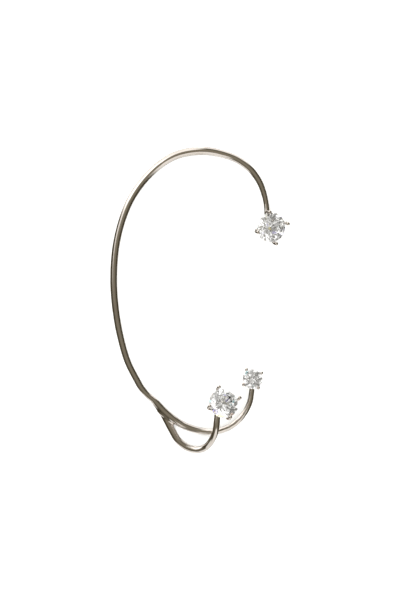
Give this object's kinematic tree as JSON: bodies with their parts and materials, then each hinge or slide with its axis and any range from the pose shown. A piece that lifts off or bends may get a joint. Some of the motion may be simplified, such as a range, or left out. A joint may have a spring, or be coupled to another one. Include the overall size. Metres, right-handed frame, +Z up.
{
  "type": "ear cuff",
  "caption": "Polished silver wire ear cuff that hooks round the whole ear, forked at the lobe, with clear round stones in claw settings on its ends.",
  "frame": {"origin": "on the surface the cuff lies on, below the middle of its outline", "axes": "+Y to the top of the hoop, +X to the hoop's open side, +Z up, the way the stones face"},
  "size_m": [0.0358, 0.0611, 0.0113],
  "materials": {
    "polished_silver": "polished, rhodium-plated silver",
    "clear_stone": "clear, round brilliant cut cubic zirconia"
  },
  "bodies": {
    "root": {"cuff_frame": "polished_silver", "upper_stone": "clear_stone", "lobe_stone": "clear_stone", "small_stone": "clear_stone"}
  },
  "joints": []
}
